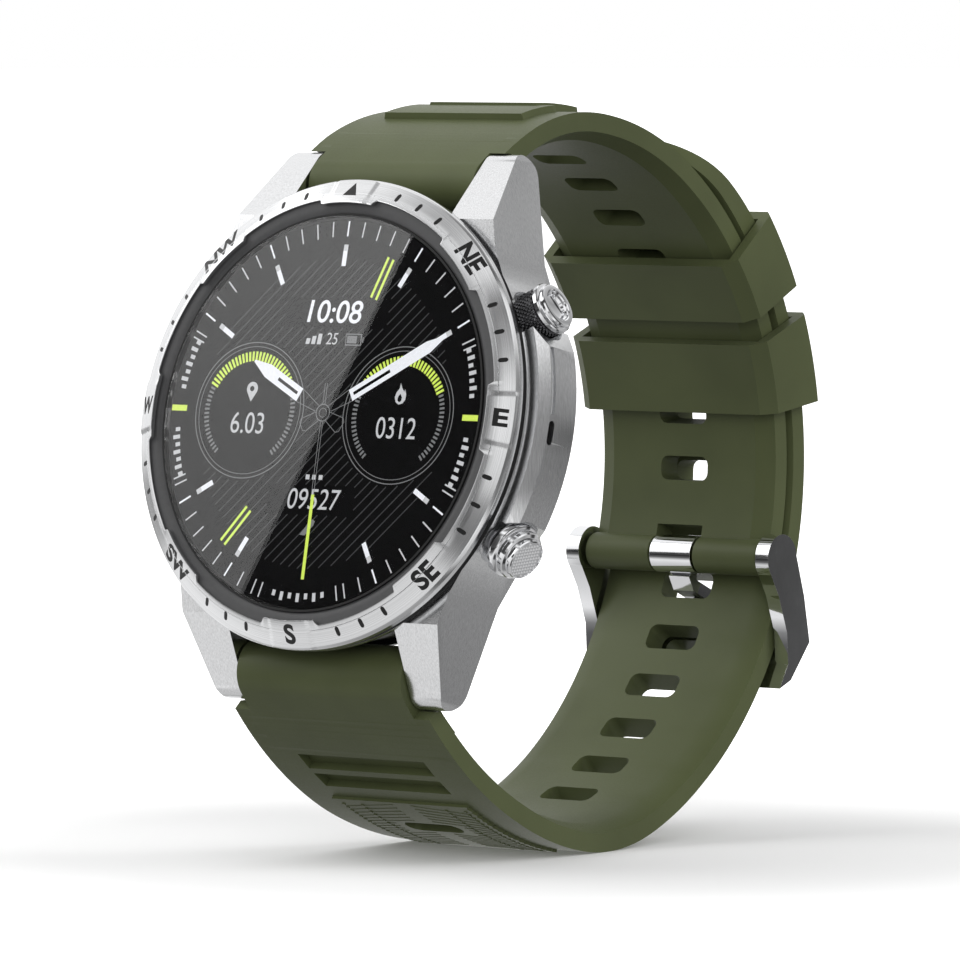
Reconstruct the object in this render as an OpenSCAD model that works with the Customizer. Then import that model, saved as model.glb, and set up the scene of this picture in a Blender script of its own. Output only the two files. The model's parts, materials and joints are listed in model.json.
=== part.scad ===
// Golf GPS watch, buckled, standing on its strap. Millimetres, +Z up, dial facing -Y and leaning back,
// 3 o'clock towards +X. The origin is under the middle of the watch, on the surface it stands on.

/* [Case] */
// Outside diameter of the metal case
case_d = 48.6; // [48.2:0.1:48.8]
// Distance between the inner faces of a pair of lugs
lug_gap = 22; // [21.9:0.05:22.1]
// Distance of each strap bar from the middle of the dial
bar_reach = 25.5; // [25.4:0.05:25.6]
// Lean of the dial from upright, degrees
lean = 12.7; // [12:0.1:13.4]

/* [Bezel] */
// Outside diameter of the turning compass bezel
bezel_d = 49; // [48.8:0.1:49.2]
// Diameter of the cover glass
glass_d = 41; // [40.8:0.05:41]

/* [Crown and button] */
// Place of the knurled crown, degrees clockwise from 12 o'clock
crown_at = 62.5; // [62:0.5:63]
// Place of the stepped button, degrees clockwise from 12 o'clock
button_at = 118.5; // [118:0.5:120]

/* [Strap] */
// Width of the strap where it passes through the buckle
strap_w = 23; // [22.6:0.1:23.2]
// Thickness of each strap half
strap_t = 2.9; // [2.8:0.05:3]
// Radius of the wrist side of the buckled loop
loop_r = 34.6; // [34.5:0.05:34.7]
// Distance between neighbouring adjustment holes, measured on the wrist side
hole_pitch = 6.12; // [6:0.02:6.2]

/* [Hidden] */
$fn = 96;

// Heights in the head, measured along the dial's axis from the top of the glass
glass_low = -0.7;
case_top = -2.7;
case_low = -10.8;
turret_top = -1.55;
back_low = -12.3;
crown_z = -5.4;
bar_z = -9;
deck_z = -3.6;
board_z = -4.9;

// Radii in the head
case_r = case_d / 2;
bezel_r = bezel_d / 2;
glass_r = glass_d / 2;
cavity_r = 21.55;
turret_r = 22.7;
shell_r = 21.5;
shell_inner_r = 20.3;
guard_r = 26.5;
pocket_floor = 23.3;
stem_r = 0.8;
tube_r = 1.3;
slip = 0.05;
letter_arc = 9.5;
cardinal_arc = 7;
field_r = 21.75;
lip_z = 0.04;
tab_lift = 0.1;
face_step = 0.03;

// Crown and button, along their own axes from the middle of the dial
press_travel = 0.4;
stem_end = 19.15 + press_travel;
crown_in = 23.8;
crown_out = 27.6;
button_in = 25.5;
button_out = 28.4;

// The loop of the strap, in the YZ plane from the dial's middle
loop_c = [27.7, -7];
layer_gap = 0.3;
inner_r = [loop_r, loop_r + strap_t];
outer_r = [loop_r + strap_t + layer_gap, loop_r + 2 * strap_t + layer_gap];
top_join = 85;
top_r = 27;
top_c = loop_c + (inner_r[1] - top_r) * [cos(top_join), sin(top_join)];
low_join = -71.2;
low_r = 25;
low_c = loop_c + (outer_r[1] - low_r) * [cos(low_join), sin(low_join)];
front_join = -100;
front_r = 45;
front_c = low_c + (low_r - front_r) * [cos(front_join), sin(front_join)];
front_end = -140;
end_w = lug_gap - 0.4;
flare_w = 25.6;
bar_hole_r = 1;
lump_r = 3.05;

// Buckle, keepers and adjustment holes, by their angle round the loop
buckle_phi = -17.2;
buckle_bar_r = 0.8;
seat_r = outer_r[1] + 1.2;
roll_r = 2;
buckle_c = loop_c + (inner_r[1] - roll_r) * [cos(buckle_phi), sin(buckle_phi)];
tail_tip = 66;
tip_r = 30;
tip_bend = 35;
hole_w = 6.8;
hole_len = 2.9;
tail_step = hole_pitch / outer_r[0] * 180 / PI;
head_step = hole_pitch / loop_r * 180 / PI;
tail_holes = [for (k = [-5:8]) -21.6 + k * tail_step];
head_holes = [for (k = [0:7]) -2.1 + k * head_step];
keeper_wall = 1.2;
keeper_clear = 0.3;
upper_keeper_arc = [26.5, 39];
lower_keeper_arc = [8.4, 21.8];

// Height of the bezel's sloping face
function face_z(r) = 0.62 - 0.6 * (r - field_r);

// Place of the dial's middle, so that the origin is under the middle of the watch
front_reach = (field_r - 0.05) * sin(lean) + (face_z(field_r - 0.05) + tab_lift) * cos(lean);
back_reach = loop_c[0] + (outer_r[1] + keeper_clear + keeper_wall) * cos(lower_keeper_arc[0]);
dial = [(bezel_r - guard_r) / 2, (front_reach - back_reach) / 2, low_r - low_c[1]];

// ---------- helpers ----------

module on_head() translate(dial) rotate([90 - lean, 0, 0]) children();

module on_loop() translate(dial) children();

// A disc or a ring about the dial's axis
module ring(r_out, r_in, low, high) translate([0, 0, low]) difference() {
    cylinder(r = r_out, h = high - low);
    if (r_in > 0) translate([0, 0, -1]) cylinder(r = r_in, h = high - low + 2);
}

// A round bar or tube that points away from the dial's axis, at a clock angle
module radial(clock, z = crown_z) rotate([0, 0, 90 - clock]) translate([0, 0, z])
    rotate([0, 90, 0]) children();

module rod(r_out, from, to, r_in = 0) translate([0, 0, from]) difference() {
    cylinder(r = r_out, h = to - from);
    if (r_in > 0) translate([0, 0, -1]) cylinder(r = r_in, h = to - from + 2);
}

// A flat drawing with Y and Z as its axes, given a width across X
module across(w, x = 0) translate([x, 0, 0]) rotate([90, 0, 90])
    linear_extrude(w, center = true) children();

module rod_x(r, from, to) translate([from, 0, 0]) rotate([0, 90, 0]) cylinder(r = r, h = to - from);

// A wedge of the plane between two angles, for cutting a ring into a sector
module wedge(a, b, r = 60) polygon(concat([[0, 0]],
    [for (i = [0:4]) let (t = a + (b - a) * i / 4) r * [cos(t), sin(t)]]));

module band(r_in, r_out, a, b) intersection() {
    difference() {
        circle(r_out);
        circle(r_in);
    }
    wedge(a, b);
}

// One ring of points round the wire of a coil spring
function coil_ring(r, wire, a, z, n) = [for (j = [0:n - 1]) let (t = 360 * j / n)
    [(r + wire * cos(t)) * cos(a), (r + wire * cos(t)) * sin(a), z + wire * sin(t)]];

// A coil spring along +Z, its wire swept along a helix
module coil(r, wire, from, to, turns) {
    n = 6;
    steps = turns * 14;
    points = [for (i = [0:steps]) each
        coil_ring(r, wire, 360 * turns * i / steps, from + wire + (to - from - 2 * wire) * i / steps, n)];
    sides = [for (i = [0:steps - 1], j = [0:n - 1]) let (k = (j + 1) % n)
        [i * n + j, (i + 1) * n + j, (i + 1) * n + k, i * n + k]];
    caps = [[for (j = [0:n - 1]) j], [for (j = [n - 1:-1:0]) steps * n + j]];
    polyhedron(points, concat(sides, caps), convexity = 8);
}

// ---------- dial side ----------

module cover_glass() color([0.55, 0.6, 0.65, 0.35]) on_head() ring(glass_r, 0, glass_low, 0);

module glass_gasket() color("black") on_head() ring(glass_r + 0.25, glass_r, glass_low, -0.03);

module display_panel() color("black") on_head() {
    ring(20.2, 0, glass_low - 1.3, glass_low - 0.03);
    translate([-4, -18.4, -2.75]) cube([8, 3, 0.85]);
}

module inner_ring() color("dimgray") on_head() rotate_extrude() polygon([
    [glass_r + 0.25, -1.5], [22.6, -1.5], [22.6, -0.1], [21.6, -0.1], [glass_r + 0.25, -0.3]
]);

// The bezel's face falls away outward, with a wider field for each letter and a raised tab at each main point
module compass_bezel() color("silver") on_head() difference() {
    union() {
        rotate_extrude() polygon([
            [turret_r + 0.08, -1.95], [bezel_r, -1.95], [bezel_r, -1.15], [bezel_r - 0.1, face_z(bezel_r - 0.1)],
            [22.3, face_z(22.3)], [22.3, lip_z], [turret_r + 0.08, lip_z]
        ]);
        for (i = [0:7]) rotate([0, 0, 45 * i - letter_arc]) rotate_extrude(angle = 2 * letter_arc)
            polygon([
                [field_r, lip_z + face_step], [22.6, lip_z + face_step], [22.6, face_z(22.6) - face_step],
                [field_r, face_z(field_r) - face_step]
            ]);
        for (i = [0:3]) rotate([0, 0, 90 * i - cardinal_arc]) rotate_extrude(angle = 2 * cardinal_arc)
            polygon([
                [field_r - 0.05, lip_z + 2 * face_step], [23, lip_z + 2 * face_step], [23, -1.5], [bezel_r - 0.02, -1.5],
                [bezel_r - 0.02, face_z(bezel_r) + tab_lift], [field_r - 0.05, face_z(field_r - 0.05) + tab_lift]
            ]);
    }
    // room for the click spring on the underside
    ring(23.6, turret_r - 1, -3, -1.35);
}

module click_spring() color("gainsboro") on_head() {
    ring(23.4, 22.95, -2.04, -1.82);
    for (i = [0:2]) rotate([0, 0, 120 * i + 20]) translate([23.17, 0, -1.9]) cylinder(r = 0.2, h = 0.25);
}

module bezel_gasket() color("black") on_head() ring(24.15, turret_r + 0.05, -2.68, -2.05);

// ---------- case ----------

module lug_side() {
    polygon([[8, case_top], [20.9, case_top], [27.95, -7.33], [26.75, -9.05], [26.75, -11.15], [8, -11.15]]);
    translate([26.75, -9.05]) circle(2.1);
}

module lug_plan() polygon([
    [lug_gap / 2, 12], [lug_gap / 2, 29], [14.4, 29], [14.9, 28], [17.6, 17.8], [21.9, 9.6], [14, 8]
]);

module lug() intersection() {
    across(80) lug_side();
    translate([0, 0, -12]) linear_extrude(10) lug_plan();
}

module guard() intersection() {
    rotate_extrude() polygon([
        [20, -9.4], [guard_r - 1.2, -9.4], [guard_r, -8.2], [guard_r, -3.9], [guard_r - 0.9, -2.95], [20, -2.95]
    ]);
    translate([0, 0, -12]) linear_extrude(12)
        polygon([[18, 10.4], [23.2, 10.4], [25.8, 7.6], [29, 3], [29, -5], [25.6, -9.4], [22, -11.4], [18, -11.4]]);
}

module bar_holes(r, reach) for (s = [-1, 1]) translate([0, s * bar_reach, bar_z])
    rod_x(r, -reach, reach);

module mid_case() color("silver") on_head() difference() {
    union() {
        rotate_extrude() polygon([
            [15, case_low], [23.3, case_low], [case_r, -9.7], [case_r, case_top], [turret_r, case_top],
            [turret_r, turret_top], [15, turret_top]
        ]);
        for (m = [0, 1], n = [0, 1]) mirror([m, 0, 0]) mirror([0, n, 0]) lug();
        guard();
        radial(button_at) rod(2.7, 20, 24.6);
    }
    ring(cavity_r, 0, -14, 0);
    ring(22.85, 0, -14, case_low);
    // windows between the lugs show the inner case
    for (s = [-1, 1]) translate([-lug_gap / 2, s * 26 - 8.2, -14]) cube([lug_gap, 16.4, 14 + case_top - 0.5]);
    radial(crown_at) rod(3.15, pocket_floor, 32);
    radial(crown_at) rod(tube_r, 15, 30);
    radial(button_at) rod(tube_r, 15, 30);
    // room for the button's travel in the end of the guard
    radial(button_at) rod(3.3, 24.6, 32);
    // pickup slot of the microphone and the fine groove above it
    radial(90, -4.4) hull() for (u = [-1.4, 0.2]) translate([0, u, 20]) cylinder(r = 0.45, h = 10, $fn = 24);
    rotate_extrude(angle = 15, start = 3) translate([guard_r - 0.35, -4.65]) square([1, 0.5]);
    bar_holes(0.5, 12.4);
}

module inner_case() color("black") on_head() difference() {
    union() {
        ring(shell_r, shell_inner_r, -10.3, -1.6);
        for (s = [-1, 1]) intersection() {
            ring(22.1, 20.9, -10.3, -3.3);
            translate([-lug_gap / 2 + 0.3, s * 26 - 9.5, -11]) cube([lug_gap - 0.6, 19, 9]);
        }
        ring(shell_r, 0, deck_z, deck_z + 0.8);
        screw_places() ring(2.2, 0, -10.2, -8);
    }
    translate([-5, -18.8, deck_z - 1]) cube([10, 4.8, 3]);
    screw_places() ring(0.7, 0, -11, -8.6);
    for (a = [crown_at, button_at]) radial(a) rod(tube_r, 15, 30);
}

module screw_places() for (i = [0:3]) rotate([0, 0, 45 + 90 * i]) translate([18.6, 0, 0]) children();

module case_back() color([0.12, 0.12, 0.13]) on_head() difference() {
    rotate_extrude() polygon([
        [0, back_low], [21, back_low], [22.6, -11.5], [22.6, case_low - 0.05], [0, case_low - 0.05]
    ]);
    ring(9.2, 0, -14, -5);
    ring(10.3, 0, -11.45, -5);
    screw_places() ring(1.2, 0, -14, -11.6);
    screw_places() ring(0.75, 0, -14, -5);
    pin_places() ring(1.05, 0, -14, -5);
}

module pin_places() for (s = [-1, 1]) translate([2 * s, -13.6, 0]) children();

module back_gasket() color("black") on_head() ring(21.4, 20.45, case_low, -10.32);

module back_screws() color("gray") on_head() screw_places() difference() {
    union() {
        ring(1.1, 0, -12.2, -11.62);
        ring(0.68, 0, -11.62, -8.7);
    }
    translate([0, 0, -12.4]) cylinder(r = 0.5, h = 0.6, $fn = 6);
}

module sensor_window() color([0.05, 0.05, 0.06]) on_head() intersection() {
    union() {
        ring(9.1, 0, -14, -11.4);
        ring(10.2, 0, -11.42, -10.9);
    }
    translate([0, 0, 27]) sphere(r = 40);
}

module sensor_board() color("darkgreen") on_head() {
    ring(8.5, 0, -10.5, -9.9);
    for (i = [0:3]) rotate([0, 0, 90 * i]) translate([3, -1, -10.8]) cube([2.4, 2, 0.35]);
}

module charging_pins() color("gold") on_head() pin_places() {
    ring(1, 0, -12.25, -10.5);
    ring(1.4, 0, -10.75, -10.4);
}

// ---------- inside ----------

module main_board() color("darkgreen") on_head() {
    ring(18.9, 0, board_z, board_z + 0.7);
    translate([-11, -6, board_z - 1]) cube([10, 10, 1.05]);
    translate([2, -7, board_z - 0.8]) cube([8, 6, 0.85]);
    translate([3, 2, board_z - 1]) cube([7, 5, 1.05]);
}

module battery() color("slategray") on_head() translate([-13, -9.5, -9.7]) cube([26, 19, 3.5]);

module gps_antenna() color("tan") on_head() translate([0, 0, -4.17])
    rotate_extrude(angle = 320, start = 110) translate([17.4, 0]) square([2, 0.45]);

module vibration_motor() color("silver") on_head() translate([0, -14.4, 0]) ring(3.9, 0, -9.6, -6.8);

module speaker() color([0.15, 0.15, 0.15]) on_head() difference() {
    translate([-5.5, 10.6, -9.6]) cube([11, 7, 3.2]);
    translate([-4.5, 11.6, -7]) cube([9, 5, 2]);
}

module side_switches() color("dimgray") on_head() for (a = [crown_at, button_at]) radial(a) {
    translate([-0.5, -1.6, 16.8]) cube([2, 3.2, 1.8]);
    rod(0.45, 18.5, 19.1);
}

// ---------- crown and button ----------

module crown_knob() color([0.1, 0.1, 0.11]) on_head() radial(crown_at) difference() {
    union() {
        rod(2.65, crown_in, 26.2);
        rod(2.2, 26.1, 26.8);
        for (i = [0:27]) rotate([0, 0, i * 360 / 28]) translate([2.6, 0, crown_in + 0.2])
            cylinder(r = 0.18, h = 2, $fn = 4);
    }
    rod(2, crown_in - 1, 25.2);
    rod(stem_r, 25, 26.3);
}

module crown_end_ring() color("gainsboro") on_head() radial(crown_at) difference() {
    union() {
        rod(2.75, 26.3, 27.1, 2.2);
        rod(2.35, 26.85, crown_out);
    }
    rod(1.5, 27.2, 30);
    rod(2.2, 26, 26.85);
}

module push_stem(outer) difference() {
    rod(stem_r, stem_end, outer);
    rod(stem_r + 1, 19.68, 19.97, 0.5);
}

module crown_stem() color("silver") on_head() radial(crown_at) push_stem(26.25);

module stem_clip() difference() {
    rod(1.2, 19.7, 19.95, 0.52);
    translate([-0.4, 0, 19]) cube([0.8, 2, 2]);
}

module crown_clip() color("gray") on_head() radial(crown_at) stem_clip();

module stem_tube(outer) difference() {
    rod(tube_r, 20, outer, stem_r + slip);
    rod(1.1, outer - 1, outer + 1);
}

module crown_tube() color("gray") on_head() radial(crown_at) stem_tube(pocket_floor);

module crown_oring() color("black") on_head() radial(crown_at) rod(1.08, 22.4, 22.9, stem_r + 0.02);

module crown_spring() color("silver") on_head() radial(crown_at) coil(1.5, 0.14, 23.35, 25.15, 4);

module button_head() color("silver") on_head() radial(button_at) difference() {
    union() {
        rod(3, button_in, 26.6);
        rod(2.65, 26.5, 27.6);
        rod(2.2, 27.5, button_out);
    }
    rod(2, button_in - 1, 26.3);
    rod(stem_r, 26, 27.2);
}

module button_stem() color("silver") on_head() radial(button_at) push_stem(27.15);

module button_clip() color("gray") on_head() radial(button_at) stem_clip();

module button_oring() color("black") on_head() radial(button_at) rod(1.08, 23.7, 24.2, stem_r + 0.02);

module button_spring() color("silver") on_head() radial(button_at) coil(1.5, 0.14, 24.65, 26.25, 3);

module button_tube() color("gray") on_head() radial(button_at) stem_tube(24.6);

// ---------- strap bars ----------

module bar_place(s) on_head() translate([0, s * bar_reach, bar_z]) children();

module bar_tube(s) color("silver") bar_place(s) difference() {
    rod_x(0.9, -10.3, 10.3);
    rod_x(0.6, -10, 10);
    rod_x(0.49, -11, 11);
}

module bar_tip(s, side) color("gainsboro") bar_place(s) mirror([side < 0 ? 1 : 0, 0, 0]) {
    rod_x(0.45, 7.6, 12.2);
    rod_x(0.57, 7.6, 8.6);
}

module bar_spring(s) color("silver") bar_place(s) rotate([0, 90, 0]) coil(0.42, 0.1, -7.5, 7.5, 7);

module upper_bar_tube() bar_tube(1);
module upper_bar_spring() bar_spring(1);
module upper_bar_left_tip() bar_tip(1, -1);
module upper_bar_right_tip() bar_tip(1, 1);
module lower_bar_tube() bar_tube(-1);
module lower_bar_spring() bar_spring(-1);
module lower_bar_left_tip() bar_tip(-1, -1);
module lower_bar_right_tip() bar_tip(-1, 1);

// ---------- strap ----------

// Place of a strap bar in the YZ plane, from the dial's middle
function bar_at(s) = [s * bar_reach * sin(lean) - bar_z * cos(lean), s * bar_reach * cos(lean) + bar_z * sin(lean)];

module loop_band(r, a, b) translate(loop_c) band(r[0], r[1], a, b);

// Side view of the 12 o'clock half, from its flare back to the buckle
module upper_side() {
    loop_band(inner_r, buckle_phi, top_join);
    translate(top_c) band(top_r - strap_t, top_r, top_join - 0.2, 122);
}

// The end between the lugs, rolled round the strap bar
module end_side(s, c, r, from, to) difference() {
    union() {
        translate(bar_at(s)) circle(lump_r);
        translate(c) band(r - strap_t - 0.8, r, from, to);
    }
    translate(bar_at(s)) circle(bar_hole_r);
}

// The strap narrows from the flare at the lugs to the buckle
module strap_plan() polygon([
    [-flare_w / 2, 0], [flare_w / 2, 0], [flare_w / 2, 17], [strap_w / 2 + 0.4, 34], [strap_w / 2, 50],
    [strap_w / 2, 80], [-strap_w / 2, 80], [-strap_w / 2, 50], [-strap_w / 2 - 0.4, 34], [-flare_w / 2, 17]
]);

// Room for the tips of the lugs in the flare
module lug_room(s) on_head() across(40) mirror([s < 0 ? 1 : 0, 0]) {
    translate([26.75, -9.05]) circle(2.25);
    polygon([[20, -2], [28.1, -7.2], [26.75, -11.3], [20, -11.3]]);
}

module loop_hole(phi, w, len) translate([0, loop_c[0], loop_c[1]]) rotate([phi, 0, 0])
    translate([-w / 2, 30, -len / 2]) cube([w, 16, len]);

module strap_upper() color([0.29, 0.32, 0.21]) difference() {
    union() {
        difference() {
            on_loop() intersection() {
                across(30) upper_side();
                translate([0, 0, -40]) linear_extrude(90) strap_plan();
            }
            lug_room(1);
        }
        on_loop() {
            across(end_w) end_side(1, top_c, top_r, 114, 128);
            across(strap_w) translate(buckle_c) circle(roll_r);
            // raised pad on the outside
            across(19) translate(top_c) band(top_r - 1, top_r + 0.7, 92, 104);
            across(15) loop_band([inner_r[0] + 1, inner_r[1] + 0.9], 80, 92);
        }
    }
    on_loop() {
        across(40) translate(buckle_c) circle(buckle_bar_r);
        across(6) translate(buckle_c) circle(3);
        for (phi = head_holes) loop_hole(phi, hole_w - 0.6, 2.6);
    }
}

// Side view of the 6 o'clock half: the front run, the curve it stands on, then the loop and its thin tip
module lower_side() {
    translate(front_c) band(front_r - strap_t, front_r, front_end, front_join);
    translate(low_c) band(low_r - strap_t, low_r, front_join - 0.2, low_join + 0.2);
    loop_band(outer_r, low_join, tip_bend);
    intersection() {
        loop_band(outer_r, tip_bend - 0.2, tail_tip);
        translate(loop_c + (outer_r[1] - tip_r) * [cos(tip_bend), sin(tip_bend)]) circle(tip_r);
    }
}

module strap_lower() color([0.29, 0.32, 0.21]) difference() {
    union() {
        difference() {
            on_loop() intersection() {
                across(30) lower_side();
                union() {
                    translate([0, 0, -60]) linear_extrude(54) strap_plan();
                    translate([-strap_w / 2, 55, -8]) cube([strap_w, 40, 60]);
                    translate([0, 55, -8]) cylinder(r = strap_w / 2, h = 60);
                }
            }
            lug_room(-1);
        }
        on_loop() {
            across(end_w) end_side(-1, front_c, front_r, -146, -132);
            // raised tread on the outside
            across(18) translate(front_c) band(front_r - 1, front_r + 0.35, -121, front_join);
        }
    }
    on_loop() {
        for (phi = tail_holes) loop_hole(phi, hole_w, hole_len);
        for (phi = [-129.8, -125.4]) across(16.6)
            translate(front_c) band(front_r - 0.9, front_r + 2, phi - 1.6, phi + 1.6);
    }
}

// ---------- buckle and keepers ----------

module buckle_bar() color("silver") on_loop() across(25.4) translate(buckle_c) circle(buckle_bar_r - 0.02);

// Side view of one buckle arm, from the eye round the bar to the outer cross bar
module arm_side() translate(buckle_c) {
    circle(2.6);
    polygon([[-2.45, -0.9], [-0.6, -4], [0.9, -8], [1.1, -11.4], [-0.4, -13.9], [1.6, -13.1],
        [5, -9.2], [4, -4.2], [2.6, 0.2]]);
}

module buckle_frame() color("gainsboro") on_loop() difference() {
    union() {
        for (side = [-1, 1]) across(1.7, side * 12.7) arm_side();
        intersection() {
            across(26) arm_side();
            across(26) loop_band([outer_r[1] + 0.35, outer_r[1] + 5], -40, -24);
        }
    }
    across(25.5) translate(buckle_c) circle(buckle_bar_r + slip);
    // seat of the tongue on the cross bar, and the notch that it comes in through
    across(3.4) loop_band([seat_r - 0.2, seat_r + 5], -42, -22);
    across(3.4) loop_band([seat_r - 2, seat_r + 5], -27.5, -20);
}

// A point of the loop from its radius and its angle
function on_arc(r, phi) = loop_c + r * [cos(phi), sin(phi)];

// Side view of the prong: out through the hole in the tail, then down its outside to the seat
module prong_side() difference() {
    polygon([
        on_arc(36.9, -18.4), on_arc(37.5, -20.8), on_arc(40.9, -21), on_arc(42.2, -21.8),
        on_arc(seat_r + 1.3, -26), on_arc(seat_r + 1.3, -34.4), on_arc(seat_r + 0.1, -34.6),
        on_arc(seat_r + 0.1, -26.2), on_arc(41.2, -24), on_arc(40.8, -22.9), on_arc(37.4, -22.8),
        on_arc(36, -21)
    ]);
    translate(buckle_c) circle(buckle_bar_r + slip);
}

module buckle_tongue() color("gainsboro") on_loop() {
    across(5.4) translate(buckle_c) difference() {
        circle(2.05);
        circle(buckle_bar_r + slip);
    }
    across(2.7) prong_side();
}

// A loop of rubber round both halves, with its corners cut off
module keeper(arc) color([0.27, 0.3, 0.19]) on_loop() translate([0, loop_c[0], loop_c[1]])
    rotate([90, 0, 90]) rotate_extrude(angle = arc[1] - arc[0], start = arc[0]) {
        inside = strap_w / 2 + keeper_clear;
        side = inside + keeper_wall;
        low = inner_r[0] - keeper_clear;
        high = outer_r[1] + keeper_clear;
        difference() {
            polygon([
                [low - keeper_wall, -side + 1.6], [low, -side], [high + 0.6, -side], [high + keeper_wall, -side + 0.6],
                [high + keeper_wall, side - 0.6], [high + 0.6, side], [low, side], [low - keeper_wall, side - 1.6]
            ]);
            translate([low, -inside]) square([high - low, 2 * inside]);
        }
    }

module upper_keeper() keeper(upper_keeper_arc);
module lower_keeper() keeper(lower_keeper_arc);

cover_glass();
glass_gasket();
display_panel();
inner_ring();
compass_bezel();
click_spring();
bezel_gasket();
mid_case();
inner_case();
case_back();
back_gasket();
back_screws();
sensor_window();
sensor_board();
charging_pins();
main_board();
battery();
gps_antenna();
vibration_motor();
speaker();
side_switches();
crown_knob();
crown_end_ring();
crown_stem();
crown_clip();
crown_oring();
crown_spring();
crown_tube();
button_head();
button_stem();
button_clip();
button_oring();
button_spring();
button_tube();
strap_upper();
strap_lower();
upper_bar_tube();
upper_bar_spring();
upper_bar_left_tip();
upper_bar_right_tip();
lower_bar_tube();
lower_bar_spring();
lower_bar_left_tip();
lower_bar_right_tip();
buckle_bar();
buckle_frame();
buckle_tongue();
upper_keeper();
lower_keeper();
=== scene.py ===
"""Looks of the golf watch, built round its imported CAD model. Metres, in the frame's axes."""

import json
from math import cos, degrees, hypot, pi, radians, sin, sqrt

import bmesh
import bpy
from mathutils import Matrix, Vector


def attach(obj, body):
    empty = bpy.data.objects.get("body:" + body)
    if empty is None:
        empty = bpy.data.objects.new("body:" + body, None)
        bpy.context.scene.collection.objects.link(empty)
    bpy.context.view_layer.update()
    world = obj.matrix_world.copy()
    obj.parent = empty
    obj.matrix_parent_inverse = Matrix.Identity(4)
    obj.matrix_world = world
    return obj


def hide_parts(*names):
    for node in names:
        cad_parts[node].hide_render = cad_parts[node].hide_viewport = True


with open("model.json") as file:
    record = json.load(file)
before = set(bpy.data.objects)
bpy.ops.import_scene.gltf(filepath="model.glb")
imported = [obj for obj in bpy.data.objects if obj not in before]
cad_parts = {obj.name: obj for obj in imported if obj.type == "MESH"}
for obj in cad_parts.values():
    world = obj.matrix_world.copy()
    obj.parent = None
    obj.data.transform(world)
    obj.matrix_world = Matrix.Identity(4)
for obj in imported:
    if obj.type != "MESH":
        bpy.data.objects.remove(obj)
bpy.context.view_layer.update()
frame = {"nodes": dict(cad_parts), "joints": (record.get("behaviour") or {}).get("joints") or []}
MM = 0.001
joints = {j["name"]: j for j in frame["joints"]}
NODES = frame["nodes"]

# Axes of the head: X to 3 o'clock, UP to 12 o'clock, OUT of the dial. Heights are from the top of the glass.
DIAL = Vector(joints["bezel_turn"]["pos_m"])
OUT = Vector(joints["bezel_turn"]["axis"]).normalized()
EAST = Vector((1, 0, 0))
UP = OUT.cross(EAST).normalized()
HEAD = Matrix.Translation(DIAL) @ Matrix((EAST, UP, OUT)).transposed().to_4x4() @ Matrix.Scale(MM, 4)
# The plane of the strap's loop: X across, then Y and Z of the row, from the dial's middle
LOOP = Matrix.Translation(DIAL) @ Matrix.Scale(MM, 4)


# ---------- camera and stage ----------

AZIMUTH, ELEVATION = radians(38), radians(3)
CAMERA_DISTANCE = 0.92
AIM_RIGHT, AIM_DOWN = 0.01633, 0.00696
right = Vector((cos(AZIMUTH), sin(AZIMUTH), 0))
ahead = -Vector((sin(AZIMUTH) * cos(ELEVATION), -cos(AZIMUTH) * cos(ELEVATION), sin(ELEVATION)))
over = right.cross(ahead)
aim = DIAL + AIM_RIGHT * right - AIM_DOWN * over
camera_data = bpy.data.cameras.new("camera")
camera_data.lens, camera_data.sensor_width = 337.5, 36
camera_data.clip_start, camera_data.clip_end = 0.05, 60
camera = bpy.data.objects.new("camera", camera_data)
camera.location = aim - ahead * CAMERA_DISTANCE
camera.rotation_euler = ahead.to_track_quat("-Z", "Y").to_euler()
bpy.context.scene.collection.objects.link(camera)
bpy.context.scene.camera = camera
bpy.context.scene.view_settings.view_transform = "Standard"
bpy.context.scene.view_settings.look = "None"


# ---------- materials ----------

def nodes_of(name):
    """A new material with its node tree and its Principled shader."""
    material = bpy.data.materials.new(name)
    material.use_nodes = True
    tree = material.node_tree
    shader = tree.nodes["Principled BSDF"]
    return material, tree, shader


def link(tree, a, b):
    tree.links.new(a, b)


def add(tree, kind, **values):
    node = tree.nodes.new(kind)
    for key, value in values.items():
        if key in node.inputs:
            node.inputs[key].default_value = value
        else:
            setattr(node, key, value)
    return node


def ramp(tree, source, stops):
    """A field turned into colours, or into greys where a stop is a number."""
    node = tree.nodes.new("ShaderNodeValToRGB")
    while len(node.color_ramp.elements) < len(stops):
        node.color_ramp.elements.new(0.5)
    for element, (place, value) in zip(node.color_ramp.elements, stops):
        element.position = place
        element.color = (*value, 1) if hasattr(value, "__len__") else (value, value, value, 1)
    link(tree, source, node.inputs["Fac"])
    return node.outputs["Color"]


def noise(tree, scale, detail=4.0, rough=0.55, vector=None, stretch=None):
    place = add(tree, "ShaderNodeTexCoord").outputs["Object"] if vector is None else vector
    if stretch is not None:
        mapping = add(tree, "ShaderNodeMapping")
        mapping.inputs["Scale"].default_value = stretch
        link(tree, place, mapping.inputs["Vector"])
        place = mapping.outputs["Vector"]
    node = add(tree, "ShaderNodeTexNoise", Scale=scale, Detail=detail, Roughness=rough)
    link(tree, place, node.inputs["Vector"])
    return node.outputs["Fac"]


def bump(tree, shader, height, strength, distance):
    node = add(tree, "ShaderNodeBump", Strength=strength, Distance=distance)
    link(tree, height, node.inputs["Height"])
    link(tree, node.outputs["Normal"], shader.inputs["Normal"])


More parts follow.
